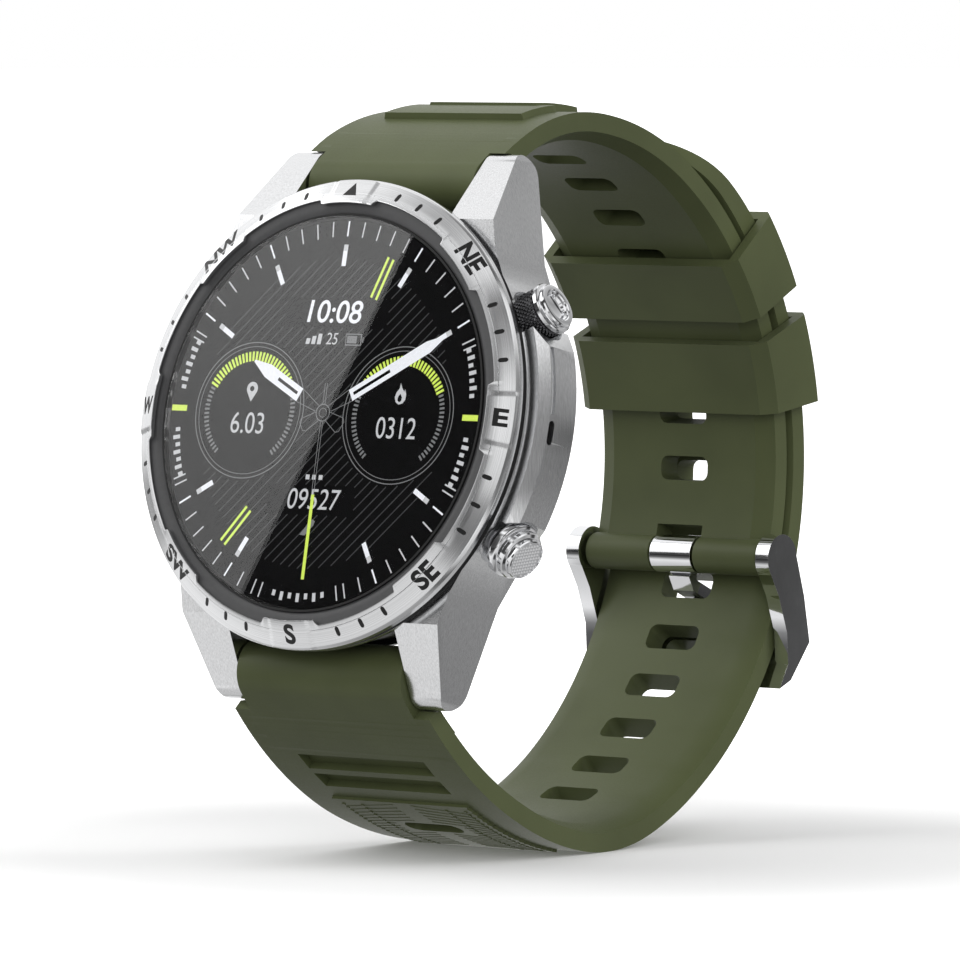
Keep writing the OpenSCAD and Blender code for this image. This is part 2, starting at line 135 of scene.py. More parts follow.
def plain(name, colour, rough, metal=0.0, grain=900.0, spread=0.06, **extra):
    """A finish whose colour, gloss and surface vary a little, as every real one does."""
    material, tree, shader = nodes_of(name)
    shader.inputs["Metallic"].default_value = metal
    for key, value in extra.items():
        shader.inputs[key.replace("_", " ")].default_value = value
    field = noise(tree, grain)
    dark = tuple(c * (1 - spread) for c in colour)
    light = tuple(min(1, c * (1 + spread)) for c in colour)
    link(tree, ramp(tree, field, [(0.3, dark), (0.7, light)]), shader.inputs["Base Color"])
    link(tree, ramp(tree, field, [(0.3, max(0.02, rough - 0.03)), (0.7, rough + 0.03)]), shader.inputs["Roughness"])
    bump(tree, shader, field, 0.08, 0.00002)
    return material


def rubber(name, colour):
    """Moulded satin rubber: a fine skin, broad faint mottling and a soft sheen."""
    material, tree, shader = nodes_of(name)
    broad = noise(tree, 60, 3)
    fine = noise(tree, 5200, 2)
    dark = tuple(c * 0.9 for c in colour)
    light = tuple(c * 1.1 for c in colour)
    link(tree, ramp(tree, broad, [(0.35, dark), (0.65, light)]), shader.inputs["Base Color"])
    link(tree, ramp(tree, fine, [(0.3, 0.4), (0.7, 0.5)]), shader.inputs["Roughness"])
    shader.inputs["Specular IOR Level"].default_value = 0.22
    shader.inputs["Sheen Weight"].default_value = 0.03
    shader.inputs["Sheen Roughness"].default_value = 0.4
    bump(tree, shader, fine, 0.12, 0.00003)
    return material


def brushed(name, stretch, colour=(0.72, 0.725, 0.735), rough=0.26, turned=False):
    """Brushed steel. Its grain is squeezed along each axis, or runs round the dial's axis if it is turned."""
    material, tree, shader = nodes_of(name)
    shader.inputs["Metallic"].default_value = 1
    vector = None
    if turned:
        place = add(tree, "ShaderNodeVectorMath", operation="SUBTRACT")
        link(tree, add(tree, "ShaderNodeTexCoord").outputs["Object"], place.inputs[0])
        place.inputs[1].default_value = DIAL
        height = add(tree, "ShaderNodeVectorMath", operation="DOT_PRODUCT")
        link(tree, place.outputs["Vector"], height.inputs[0])
        height.inputs[1].default_value = OUT
        reach = add(tree, "ShaderNodeVectorMath", operation="LENGTH")
        link(tree, place.outputs["Vector"], reach.inputs[0])
        vector = add(tree, "ShaderNodeCombineXYZ")
        link(tree, reach.outputs["Value"], vector.inputs["X"])
        link(tree, height.outputs["Value"], vector.inputs["Y"])
        vector = vector.outputs["Vector"]
    lines = noise(tree, 9000, 3, 0.6, vector, None if turned else stretch)
    broad = noise(tree, 90, 2)
    dark = tuple(c * 0.86 for c in colour)
    light = tuple(min(1, c * 1.08) for c in colour)
    link(tree, ramp(tree, lines, [(0.3, dark), (0.7, light)]), shader.inputs["Base Color"])
    link(tree, ramp(tree, broad, [(0.3, rough - 0.05), (0.7, rough + 0.05)]), shader.inputs["Roughness"])
    bump(tree, shader, lines, 0.05, 0.00001)
    return material


def lit(name, colour, strength):
    """A lit part of the display."""
    material, tree, shader = nodes_of(name)
    shader.inputs["Base Color"].default_value = (0, 0, 0, 1)
    shader.inputs["Roughness"].default_value = 0.6
    cells = noise(tree, 4000, 1)
    dark = tuple(c * 0.93 for c in colour)
    link(tree, ramp(tree, cells, [(0.3, dark), (0.7, colour)]), shader.inputs["Emission Color"])
    shader.inputs["Emission Strength"].default_value = strength
    return material


GREEN = (0.092, 0.108, 0.047)
M_strap = rubber("strap_rubber", GREEN)
M_keeper = rubber("keeper_rubber", tuple(c * 0.97 for c in GREEN))
M_bezel = brushed("bezel_steel", None, (0.84, 0.845, 0.855), 0.2, turned=True)
M_case = brushed("case_steel", (1, 1, 0.02), (0.86, 0.865, 0.875), 0.22)
M_polished = plain("polished_steel", (0.9, 0.905, 0.92), 0.05, 1.0, 300, 0.03)
M_knurl = plain("knurled_coating", (0.12, 0.12, 0.125), 0.22, 1.0)
M_inner = plain("inner_steel", (0.55, 0.55, 0.57), 0.3, 1.0)
M_ring = plain("inner_ring_grey", (0.072, 0.072, 0.074), 0.4, 0.0, 1800)
M_black = plain("black_moulding", (0.012, 0.012, 0.013), 0.3)
M_back = plain("back_polymer", (0.014, 0.014, 0.016), 0.12)
M_sensor = plain("sensor_window", (0.008, 0.008, 0.01), 0.04, Coat_Weight=0.6)
M_seal = plain("seal_rubber", (0.008, 0.008, 0.008), 0.6)
M_mark = plain("mark_enamel", (0.004, 0.004, 0.004), 0.5)
M_gold = plain("gold_plate", (0.9, 0.66, 0.28), 0.2, 1.0)
M_board = plain("board_green", (0.01, 0.1, 0.04), 0.4, grain=400, spread=0.4)
M_cell = plain("cell_foil", (0.4, 0.42, 0.45), 0.35, 0.6)
M_antenna = plain("antenna_carrier", (0.4, 0.3, 0.18), 0.45)
M_dark = plain("dark_moulding", (0.02, 0.02, 0.02), 0.5)
M_display = plain("display_black", (0.003, 0.003, 0.0035), 0.9, Specular_IOR_Level=0.0)
M_white = lit("dial_white", (0.93, 0.95, 1.0), 1.0)
M_soft = lit("dial_soft", (0.6, 0.61, 0.63), 1.0)
M_grey = lit("dial_grey", (0.2, 0.205, 0.21), 1.0)
M_faint = lit("dial_faint", (0.03, 0.031, 0.033), 1.0)
M_lime = lit("dial_lime", (0.7, 0.9, 0.12), 1.0)

M_glass, _, glass_shader = nodes_of("cover_glass")
glass_shader.inputs["Base Color"].default_value = (1, 1, 1, 1)
glass_shader.inputs["Roughness"].default_value = 0.0
glass_shader.inputs["IOR"].default_value = 1.5
glass_shader.inputs["Specular IOR Level"].default_value = 1.0
glass_shader.inputs["Transmission Weight"].default_value = 1.0

finish = {
    "cover_glass": M_glass, "glass_gasket": M_seal, "display_panel": M_display, "inner_ring": M_ring,
    "compass_bezel": M_bezel, "click_spring": M_inner, "bezel_gasket": M_seal, "mid_case": M_case,
    "inner_case": M_black, "case_back": M_back, "back_gasket": M_seal, "back_screws": M_inner,
    "sensor_window": M_sensor, "sensor_board": M_board, "charging_pins": M_gold, "main_board": M_board,
    "battery": M_cell, "gps_antenna": M_antenna, "vibration_motor": M_inner, "speaker": M_dark,
    "side_switches": M_dark, "crown_knob": M_knurl, "crown_end_ring": M_polished, "crown_oring": M_seal,
    "button_head": M_polished, "button_oring": M_seal, "strap_upper": M_strap, "strap_lower": M_strap,
    "buckle_frame": M_polished, "buckle_tongue": M_polished, "upper_keeper": M_keeper, "lower_keeper": M_keeper,
}
for name, node in NODES.items():
    node.data.materials.clear()
    node.data.materials.append(finish.get(name, M_inner))


# ---------- light ----------

def look_at(obj, place, target):
    obj.location = place
    obj.rotation_euler = (Vector(target) - Vector(place)).to_track_quat("-Z", "Y").to_euler()


def softbox(name, place, target, width, height, power, colour=(1, 1, 1)):
    data = bpy.data.lights.new(name, "AREA")
    data.shape, data.size, data.size_y, data.energy, data.color = "RECTANGLE", width, height, power, colour
    obj = bpy.data.objects.new(name, data)
    bpy.context.scene.collection.objects.link(obj)
    look_at(obj, place, target)
    obj.visible_camera = obj.visible_glossy = False
    return obj


CENTRE = Vector((0, 0, 0.04))
softbox("top", (-0.25, -0.25, 0.7), CENTRE, 0.6, 0.6, 1.7)
softbox("right_strip", (0.65, 0.3, 0.35), CENTRE, 0.3, 0.6, 1.8)
softbox("front_fill", (0.6, -0.75, 0.3), CENTRE, 0.4, 0.5, 2.2)

# A white card at the front left. Its edge, seen in the glass, runs from 1 o'clock to 7 o'clock across the dial.
CARD_FAR = 0.4
EDGE = ((8.43, 18.4), (-7.08, -18.75))
mirrored = camera.location - 2 * (camera.location - DIAL).dot(OUT) * OUT
corners = []
for x, y in EDGE:
    spot = HEAD @ Vector((x, y, 0))
    corners.append(spot + (spot - mirrored).normalized() * CARD_FAR)
edge_mid = (corners[0] + corners[1]) / 2
edge_way = (corners[0] - corners[1]).normalized()
facing = (edge_mid - DIAL).normalized()
leftward = facing.cross(edge_way).normalized()
if leftward.x > 0:
    leftward = -leftward
CARD_W, CARD_H = 0.45, 0.5
card_mesh = bpy.data.meshes.new("card")
base = edge_mid - edge_way * CARD_H / 2
card_mesh.from_pydata([base, base + leftward * CARD_W, base + leftward * CARD_W + edge_way * CARD_H,
                       base + edge_way * CARD_H], [], [(0, 1, 2, 3)])
card = bpy.data.objects.new("card", card_mesh)
bpy.context.scene.collection.objects.link(card)
card.visible_camera = False
card_material = bpy.data.materials.new("card_glow")
card_material.use_nodes = True
tree = card_material.node_tree
tree.nodes.clear()
glow = add(tree, "ShaderNodeEmission", Strength=2.2)
output = add(tree, "ShaderNodeOutputMaterial")
height = add(tree, "ShaderNodeSeparateXYZ")
link(tree, add(tree, "ShaderNodeTexCoord").outputs["Generated"], height.inputs["Vector"])
link(tree, ramp(tree, height.outputs["Z"], [(0.0, 0.35), (0.42, 0.5), (0.6, 1.0)]), glow.inputs["Color"])
link(tree, glow.outputs["Emission"], output.inputs["Surface"])
card_mesh.materials.append(card_material)

world = bpy.data.worlds.new("studio")
bpy.context.scene.world = world
world.use_nodes = True
sky = world.node_tree
sky.nodes.clear()
way = add(sky, "ShaderNodeTexCoord").outputs["Generated"]


def toward(direction, stops):
    """A factor that depends on how close a direction of the studio is to a given one."""
    dot = add(sky, "ShaderNodeVectorMath", operation="DOT_PRODUCT")
    link(sky, way, dot.inputs[0])
    dot.inputs[1].default_value = Vector(direction).normalized()
    lift = add(sky, "ShaderNodeMath", operation="MULTIPLY_ADD")
    lift.inputs[1].default_value, lift.inputs[2].default_value = 0.5, 0.5
    link(sky, dot.outputs["Value"], lift.inputs[0])
    return ramp(sky, lift.outputs[0], stops)


def times(a, b):
    node = add(sky, "ShaderNodeVectorMath", operation="MULTIPLY")
    link(sky, a, node.inputs[0])
    link(sky, b, node.inputs[1])
    return node.outputs["Vector"]


# What shines in the metal: a bright studio with a dark wall where the dial looks and a grey one behind at the right
glossy = toward((-0.61, -0.73, 0.29), [(0.0, 1.0), (0.86, 1.0), (0.93, 0.12), (1.0, 0.06)])
DARK_STRIPES = (
    ((0.61, 0.79, -0.05), [(0.0, 1.0), (0.75, 1.0), (0.88, 0.5), (0.94, 0.32), (1.0, 0.55)]),
    ((1, -0.25, 0.1), [(0.0, 1.0), (0.66, 1.0), (0.69, 0.12), (0.74, 0.12), (0.78, 1.0), (0.9, 1.0), (0.94, 0.3)]),
    ((0, 0, 1), [(0.0, 0.35), (0.25, 1.0), (0.42, 1.0), (0.45, 0.4), (0.48, 0.4), (0.51, 1.0), (0.93, 1.0),
                 (0.97, 0.2)]),
    ((-0.2, -1, -0.6), [(0.0, 1.0), (0.55, 1.0), (0.58, 0.45), (0.62, 0.45), (0.66, 1.0), (1.0, 0.8)]),
)
for direction, stops in DARK_STRIPES:
    glossy = times(glossy, toward(direction, stops))
lights = []
for colour in (toward((0, 0, 1), [(0.0, 0.16), (0.5, 0.5), (0.7, 0.62), (1.0, 0.5)]), glossy, None):
    node = add(sky, "ShaderNodeBackground", Strength=1.0)
    if colour:
        link(sky, colour, node.inputs["Color"])
    else:
        node.inputs["Color"].default_value = (1, 1, 1, 1)
    lights.append(node.outputs["Background"])
rays = add(sky, "ShaderNodeLightPath")
for name, other in (("Is Glossy Ray", lights[1]), ("Is Camera Ray", lights[2])):
    choose = add(sky, "ShaderNodeMixShader")
    link(sky, rays.outputs[name], choose.inputs["Fac"])
    link(sky, lights[0], choose.inputs[1])
    link(sky, other, choose.inputs[2])
    lights[0] = choose.outputs["Shader"]
link(sky, lights[0], add(sky, "ShaderNodeOutputWorld").inputs["Surface"])

floor_mesh = bpy.data.meshes.new("floor")
floor = bpy.data.objects.new("floor", floor_mesh)
bpy.context.scene.collection.objects.link(floor)
work = bmesh.new()
bmesh.ops.create_circle(work, cap_ends=True, radius=12, segments=96)
work.to_mesh(floor_mesh)
work.free()
floor.location.z = -0.00002
M_floor, floor_tree, floor_shader = nodes_of("pale_floor_painted_shade")
floor_shader.inputs["Base Color"].default_value = (0.9, 0.9, 0.9, 1)
floor_shader.inputs["Roughness"].default_value = 0.9
floor_shader.inputs["Specular IOR Level"].default_value = 0.05
floor_shader.inputs["Emission Color"].default_value = (1, 1, 1, 1)
# The floor glows by itself, weakly near the watch and fully further out: painted shade round the watch's foot, under
# its cast shadow, and plain white floor beyond.
place = add(floor_tree, "ShaderNodeVectorMath", operation="LENGTH")
link(floor_tree, add(floor_tree, "ShaderNodeTexCoord").outputs["Object"], place.inputs[0])
link(floor_tree, ramp(floor_tree, place.outputs["Value"], [(0.05, 0.1), (0.18, 1.0)]),
     floor_shader.inputs["Emission Strength"])
floor_mesh.materials.append(M_floor)
floor.visible_diffuse = floor.visible_glossy = False


# ---------- mesh helpers ----------

def finish_mesh(name, work, material, body, matrix=HEAD, smooth=35):
    """Turns a bmesh drawn in millimetres into a piece of the watch."""
    bmesh.ops.recalc_face_normals(work, faces=work.faces)
    mesh = bpy.data.meshes.new(name)
    work.to_mesh(mesh)
    work.free()
    mesh.transform(matrix)
    mesh.materials.append(material)
    obj = bpy.data.objects.new(name, mesh)
    bpy.context.scene.collection.objects.link(obj)
    shade(obj, smooth)
    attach(obj, body)
    return obj


def shade(obj, angle):
    """Smooth shading that breaks at sharp edges and keeps the flat faces flat."""
    mesh = obj.data
    for face in mesh.polygons:
        face.use_smooth = True
    mesh.set_sharp_from_angle(angle=radians(angle))
    even = obj.modifiers.new("even", "WEIGHTED_NORMAL")
    even.keep_sharp, even.weight = True, 100
    apply_all(obj)


def apply_all(obj):
    """Applies the object's modifiers to its mesh."""
    depsgraph = bpy.context.evaluated_depsgraph_get()
    mesh = bpy.data.meshes.new_from_object(obj.evaluated_get(depsgraph))
    obj.modifiers.clear()
    old = obj.data
    obj.data = mesh
    bpy.data.meshes.remove(old)
    return obj


def bridge(work, a, b):
    """Faces between two closed rings of as many points."""
    for i in range(len(a)):
        j = (i + 1) % len(a)
        work.faces.new((a[i], a[j], b[j], b[i]))


def extrude(work, outline, low, high):
    """A flat outline (a list of x, y) made solid between two heights."""
    bottom = [work.verts.new((x, y, low)) for x, y in outline]
    top = [work.verts.new((x, y, high)) for x, y in outline]
    work.faces.new(bottom[::-1])
    work.faces.new(top)
    bridge(work, bottom, top)


def clock(r, at, centre=(0, 0)):
    """A point of the dial from its radius and its clock angle in degrees."""
    return centre[0] + r * sin(radians(at)), centre[1] + r * cos(radians(at))


def bar(at, r_from, r_to, width, centre=(0, 0), offset=0.0):
    """The outline of a bar that points away from a centre, at a clock angle."""
    a = radians(at)
    along, side = (sin(a), cos(a)), (cos(a), -sin(a))
    points = ((r_from, -width / 2), (r_to, -width / 2), (r_to, width / 2), (r_from, width / 2))
    return [(centre[0] + r * along[0] + (s + offset) * side[0], centre[1] + r * along[1] + (s + offset) * side[1])
            for r, s in points]


def rounded_bar(at, r_from, r_to, width, steps=6):
    """The outline of a bar with round ends that points away from the middle, at a clock angle."""
    a = radians(at)
    along, side = (sin(a), cos(a)), (cos(a), -sin(a))
    outline = []
    for r, start in ((r_to - width / 2, -90), (r_from + width / 2, 90)):
        for k in range(steps + 1):
            t = radians(start + 180 * k / steps)
            u, v = r + width / 2 * cos(t), width / 2 * sin(t)
            outline.append((u * along[0] + v * side[0], u * along[1] + v * side[1]))
    return outline


def ring_faces(work, centre, r_out, r_in, low, high, sides=96):
    """A flat solid ring."""
    loops = []
    for r, z in ((r_out, low), (r_out, high), (r_in, high), (r_in, low)):
        loops.append([work.verts.new((*clock(r, 360 * i / sides, centre), z)) for i in range(sides)])
    for a, b in zip(loops, loops[1:] + loops[:1]):
        bridge(work, a, b)


def letters(text, size, place, turn=0.0, narrow=1.0, bold=0.0, slant=0.0):
    """The outlines of plain generic digits or letters as a mesh in the dial's plane, centred on a place."""
    curve = bpy.data.curves.new("letters", "FONT")
    curve.body, curve.size, curve.align_x, curve.align_y = text, size, "CENTER", "CENTER"
    curve.offset, curve.shear = bold, slant
    obj = bpy.data.objects.new("letters", curve)
    bpy.context.scene.collection.objects.link(obj)
    mesh = bpy.data.meshes.new_from_object(obj.evaluated_get(bpy.context.evaluated_depsgraph_get()))
    bpy.data.objects.remove(obj)
    bpy.data.curves.remove(curve)
    mesh.transform(Matrix.Translation((*place, 0)) @ Matrix.Rotation(radians(turn), 4, "Z")
                   @ Matrix.Diagonal((narrow, 1, 1, 1)))
    return mesh


def add_letters(work, low, high, *args, **kwargs):
    mesh = letters(*args, **kwargs)
    flat = bmesh.new()
    flat.from_mesh(mesh)
    bpy.data.meshes.remove(mesh)
    bmesh.ops.remove_doubles(flat, verts=flat.verts, dist=0.0005)
    base = list(flat.faces)
    for vert in flat.verts:
        vert.co.z = low
    made = bmesh.ops.extrude_face_region(flat, geom=base)["geom"]
    for item in made:
        if isinstance(item, bmesh.types.BMVert):
            item.co.z = high
    mesh = bpy.data.meshes.new("solid_letters")
    flat.to_mesh(mesh)
    flat.free()
    work.from_mesh(mesh)
    bpy.data.meshes.remove(mesh)


# ---------- display ----------

PANEL_TOP = -0.8
LAYERS = {"faint": (-0.795, -0.79), "grey": (-0.785, -0.78), "soft": (-0.775, -0.77), "lime": (-0.765, -0.76),
          "white": (-0.75, -0.745), "dark": (-0.74, -0.735), "over": (-0.73, -0.725)}
art = {key: bmesh.new() for key in LAYERS}


def draw(key, outline):
    """Adds a flat shape to a layer of the display."""
    extrude(art[key], outline, *LAYERS[key])


# minute track, left open where the side marks and the lower block stand
for minute in range(60):
    at = minute * 6
    side_gap = min(abs(at - 90), abs(at - 270)) < 22
    if side_gap or abs(at - 180) < 15:
        continue
    whole = minute % 5 == 0
    draw("white" if whole else "soft", bar(at, 18.4, 20.0, 0.2 if whole else 0.16))
for at in (68, 112, 248, 292, 165, 195):
    draw("soft", bar(at, 18.4, 20.0, 0.16))
for at in (90, 270):
    draw("lime", bar(at, 18.1, 20.1, 0.62))

# hour marks, bright inside and dim at the outer end
for at in (0, 30, 60, 120, 150, 210, 240, 300, 330):
    draw("white", bar(at, 15.3, 16.9, 0.55))
    draw("soft", bar(at, 16.9, 17.55, 0.55))

# two double lime bars
for at, r_from, r_to in ((20.6, 12.8, 17.3), (218.0, 13.0, 17.6)):
    for offset in (-0.36, 0.36):
        draw("lime", bar(at, r_from, r_to, 0.3, offset=offset))

# fine slanting lines over the middle, which the two small dials interrupt
SMALL = ((-9.75, 0.0), (9.75, 0.0))
SMALL_R = 7.15
HAIRLINE = 0.045
for i in range(-19, 20):
    shift = i * 0.92
    reach = 16.0 * sqrt(max(0, 1 - (shift / 18.0) ** 2))
    steps = [-reach + 2 * reach * k / 160 for k in range(161)]
    run = []
    for s in steps + [None]:
        if s is not None:
            x, y = (s + shift) * 0.7071, (s - shift) * 0.7071
            clear = all(hypot(x - c[0], y - c[1]) > SMALL_R + 0.15 for c in SMALL) and hypot(x, y) < 16.2
            clear = clear and not (abs(x) < 5.6 and -10.6 < y < -7.6) and not (abs(x) < 6.7 and 8.9 < y < 11.9)
        if s is not None and clear:
            run.append((x, y))
            continue
        if len(run) > 3:
            (x0, y0), (x1, y1) = run[0], run[-1]
            w = HAIRLINE
            draw("faint", [(x0 - w, y0 + w), (x0 + w, y0 - w), (x1 + w, y1 - w), (x1 - w, y1 + w)])
        run = []

# small dials: two thin rings, a ring of ticks, a lime arc and a plain reading
for centre, reading, width in ((SMALL[0], "6.03", 0.86), (SMALL[1], "0312", 0.84)):
    for r_out, r_in in ((SMALL_R, SMALL_R - 0.1), (SMALL_R - 0.45, SMALL_R - 0.52)):
        ring_faces(art["grey"], centre, r_out, r_in, *LAYERS["grey"])
    for k in range(-31, 32):
        at = k * 4.5
        if abs(at) <= 63:
            draw("lime", bar(at, 5.15, 6.15, 0.27, centre))
        else:
            draw("grey", bar(at, 5.35, 5.95, 0.22, centre))
    add_letters(art["soft"], *LAYERS["soft"], reading, 3.15, (centre[0], centre[1] - 1.45), narrow=width)

# icons of the small dials: a place pin and a flame
pin_x, pin_y = SMALL[0][0], 2.25
pin = [clock(0.72, a, (pin_x, pin_y)) for a in range(-125, 126, 10)] + [(pin_x, pin_y - 1.35)]
draw("soft", pin)
draw("dark", [clock(0.28, a, (pin_x, pin_y)) for a in range(0, 360, 20)])
flame_x, flame_y = SMALL[1][0], 2.1
draw("soft", [(flame_x + x, flame_y + y) for x, y in (
    (-0.15, 1.25), (0.1, 0.75), (0.42, 0.35), (0.5, 0.62), (0.72, 0.1), (0.7, -0.45), (0.4, -0.85), (-0.1, -0.98),
    (-0.5, -0.75), (-0.7, -0.25), (-0.55, 0.25), (-0.2, 0.7))])
draw("dark", [(flame_x + x, flame_y + y) for x, y in (
    (0.0, 0.15), (0.26, -0.25), (0.2, -0.62), (-0.05, -0.75), (-0.28, -0.55), (-0.25, -0.2))])

# upper block: a plain time, a day number and a battery; lower block: a plain count with a step icon
add_letters(art["white"], *LAYERS["white"], "10:08", 3.3, (-0.6, 10.4), narrow=1.05, bold=0.03, slant=0.12)
add_letters(art["soft"], *LAYERS["soft"], "25", 1.75, (-0.2, 7.65), narrow=0.9, slant=0.12)
for k in range(3):
    draw("soft", [(-3.6 + 0.75 * k, 7.1), (-3.1 + 0.75 * k, 7.1), (-3.0 + 0.75 * k, 7.7 + 0.25 * k),
                  (-3.5 + 0.75 * k, 7.7 + 0.25 * k)])
draw("grey", [(1.6, 7.05), (3.7, 7.05), (3.7, 8.3), (1.6, 8.3)])
draw("dark", [(1.72, 7.17), (3.58, 7.17), (3.58, 8.18), (1.72, 8.18)])
draw("over", [(1.84, 7.29), (3.1, 7.29), (3.1, 8.06), (1.84, 8.06)])
draw("grey", [(3.78, 7.4), (3.95, 7.4), (3.95, 7.95), (3.78, 7.95)])
add_letters(art["soft"], *LAYERS["soft"], "09527", 3.05, (0.2, -9.1), narrow=0.9, slant=0.12)
for k in range(3):
    draw("soft", [(x + 0.85 * k, y) for x, y in ((-1.1, -6.95), (-0.6, -6.95), (-0.6, -6.45), (-1.1, -6.45))])
draw("grey", [(0.2 + x, -12.0 + y) for x, y in (
    (-1.1, -0.7), (-0.4, -0.75), (0.1, -0.2), (0.55, 0.3), (0.7, 0.75), (0.35, 0.95), (-0.1, 0.65), (-0.45, 0.1))])
# marks that stand in for words on the track: a short dotted run at each place
for middle in (76, 104, 256, 284, 180):
    for k in range(-3, 4):
        at = middle + k * (2.4 if middle != 180 else 3.2)
        draw("soft", bar(at, 18.75, 19.35 if k % 2 else 19.65, 0.42))


# hands
def hand(at, tip, width, slot_to, tail):
    a = radians(at)

    def turned(points):
        return [(s * cos(a) + r * sin(a), -s * sin(a) + r * cos(a)) for s, r in points]

    half = width / 2
    draw("white", turned([(-half, 3.8), (half, 3.8), (half, tip - 2.2), (0.12, tip), (-0.12, tip), (-half, tip - 2.2)]))
    draw("dark", turned([(-0.17, 4.2), (0.17, 4.2), (0.17, slot_to), (-0.17, slot_to)]))
    root = [(-half, 3.8), (-0.35, 0.95), (0.35, 0.95), (half, 3.8)]
    for p, q in zip(root, root[1:]):
        if p != root[1]:
            draw("over", turned(line(p, q, 0.07)))
    wing = [(-0.5, -0.8), (-half * 1.15, -tail + 0.35), (-half * 0.75, -tail), (half * 0.75, -tail),
            (half * 1.15, -tail + 0.35), (0.5, -0.8)]
    for p, q in zip(wing, wing[1:]):
        draw("over", turned(line(p, q, 0.07)))


def line(p, q, width):
    """The outline of a thin line between two points."""
    dx, dy = q[0] - p[0], q[1] - p[1]
    k = width / 2 / hypot(dx, dy)
    nx, ny = -dy * k, dx * k
    return [(p[0] + nx, p[1] + ny), (p[0] - nx, p[1] - ny), (q[0] - nx, q[1] - ny), (q[0] + nx, q[1] + ny)]


hand(297.6, 11.2, 1.5, 7.3, 3.0)
hand(60.3, 16.6, 1.3, 9.2, 3.0)
for s in (-0.14, 0.14):
    draw("over", bar(179, 0.9, 8.5, 0.07, offset=s))
    draw("over", bar(359, 0.9, 3.1, 0.07, offset=s))
draw("lime", bar(178.9, 8.5, 17.3, 0.4))
ring_faces(art["over"], (0, 0), 0.92, 0.82, *LAYERS["over"])
draw("dark", [clock(0.8, a) for a in range(0, 360, 12)])
ring_faces(art["over"], (0, 0), 0.5, 0.44, *LAYERS["over"])

for key, material, slot in (("faint", M_faint, "dial_grey"), ("grey", M_grey, "dial_grey"),
                            ("soft", M_soft, "dial_grey"), ("lime", M_lime, "dial_lime"),
                            ("white", M_white, "dial_white"), ("dark", M_display, "display"),
                            ("over", M_grey, "dial_grey")):
    finish_mesh("art_" + key, art[key], material, "watch")

panel = bmesh.new()
bmesh.ops.create_cone(panel, cap_ends=True, segments=128, radius1=20.2, radius2=20.2, depth=1.2)
bmesh.ops.translate(panel, verts=panel.verts, vec=(0, 0, PANEL_TOP - 0.6))
panel_piece = finish_mesh("display_panel_face", panel, M_display, "watch")
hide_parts("display_panel")


# ---------- solid tools, all in millimetres ----------

def solid(work):
    """A temporary object from a bmesh."""
    bmesh.ops.recalc_face_normals(work, faces=work.faces)
    mesh = bpy.data.meshes.new("solid")
    work.to_mesh(mesh)
    work.free()
    obj = bpy.data.objects.new("solid", mesh)
    bpy.context.scene.collection.objects.link(obj)
    return obj


def combine(obj, other, operation):
    """Adds or cuts another temporary solid, which is used up."""
    modifier = obj.modifiers.new("join", "BOOLEAN")
    modifier.operation, modifier.object, modifier.solver = operation, other, "EXACT"
    apply_all(obj)
    drop(other)
    return obj


def drop(obj):
    mesh = obj.data
    bpy.data.objects.remove(obj)
    bpy.data.meshes.remove(mesh)


def soften(obj, width, segments=2, angle=30):
    """Rounds the edges that turn by more than an angle."""
    modifier = obj.modifiers.new("soften", "BEVEL")
    modifier.width, modifier.segments, modifier.limit_method = width, segments, "ANGLE"
    modifier.angle_limit, modifier.use_clamp_overlap = radians(angle), True
    modifier.miter_outer = "MITER_ARC"
    return apply_all(obj)


def clean(obj, flat=0.8):
    """Welds a mesh and joins its coplanar faces."""
    work = bmesh.new()
    work.from_mesh(obj.data)
    bmesh.ops.remove_doubles(work, verts=work.verts, dist=0.0004)
    bmesh.ops.dissolve_limit(work, angle_limit=radians(flat), verts=work.verts, edges=work.edges)
    bmesh.ops.recalc_face_normals(work, faces=work.faces)
    work.to_mesh(obj.data)
    work.free()
    return obj


def settle(obj, name, material, body, matrix=HEAD, smooth=32, replaces=None):
    """Makes a temporary solid a piece of the watch."""
    work = bmesh.new()
    work.from_mesh(obj.data)
    drop(obj)
    piece = finish_mesh(name, work, material, body, matrix, smooth)
    if replaces:
        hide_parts(replaces)
    return piece


def from_cad(node):
    """A temporary copy of a CAD node's mesh, in millimetres in the row's own axes."""
    mesh = NODES[node].data.copy()
    mesh.transform(Matrix.Scale(1 / MM, 4))
    obj = bpy.data.objects.new("solid", mesh)
    bpy.context.scene.collection.objects.link(obj)
    return clean(obj)


def softened_copy(node, name, material, body, width, segments=2, angle=30, smooth=32):
    """A piece that stands for a CAD node: its own shape, with rounded edges."""
    obj = soften(from_cad(node), width, segments, angle)
    return settle(obj, name, material, body, Matrix.Scale(MM, 4), smooth, node)


def sweep(stations):
    """A solid through a row of like outlines."""
    work = bmesh.new()
    loops = [[work.verts.new(p) for p in outline] for outline in stations]
    for a, b in zip(loops, loops[1:]):
        bridge(work, a, b)
    work.faces.new(loops[0])
    work.faces.new(loops[-1][::-1])
    return work


def prism_x(outline, low, high):
    """A side view of Y and Z made solid across X."""
    return sweep([[(x, y, z) for y, z in outline] for x in (low, high)])


def polar(centre, r, phi):
    return centre[0] + r * cos(radians(phi)), centre[1] + r * sin(radians(phi))


# ---------- strap ----------

LOOP_C, TOP_C, LOW_C, FRONT_C = (27.7, -7.0), (28.6151, 3.46), (32.7596, -21.8624), (36.2325, -2.16624)
INNER_R, OUTER_R, TOP_R, LOW_R, FRONT_R = (34.6, 37.5), (37.8, 40.7), 27.0, 25.0, 45.0
THICK = 2.9
BAR_UP, ROLL_LOW = (14.386, 22.898), (3.0, -27.2)
END_W = 21.6
HOLE_PITCH = 6.12
BUCKLE_PHI = -17.2
BUCKLE_ROLL_R = 2.0
BUCKLE_C = polar(LOOP_C, INNER_R[1] - BUCKLE_ROLL_R, BUCKLE_PHI)


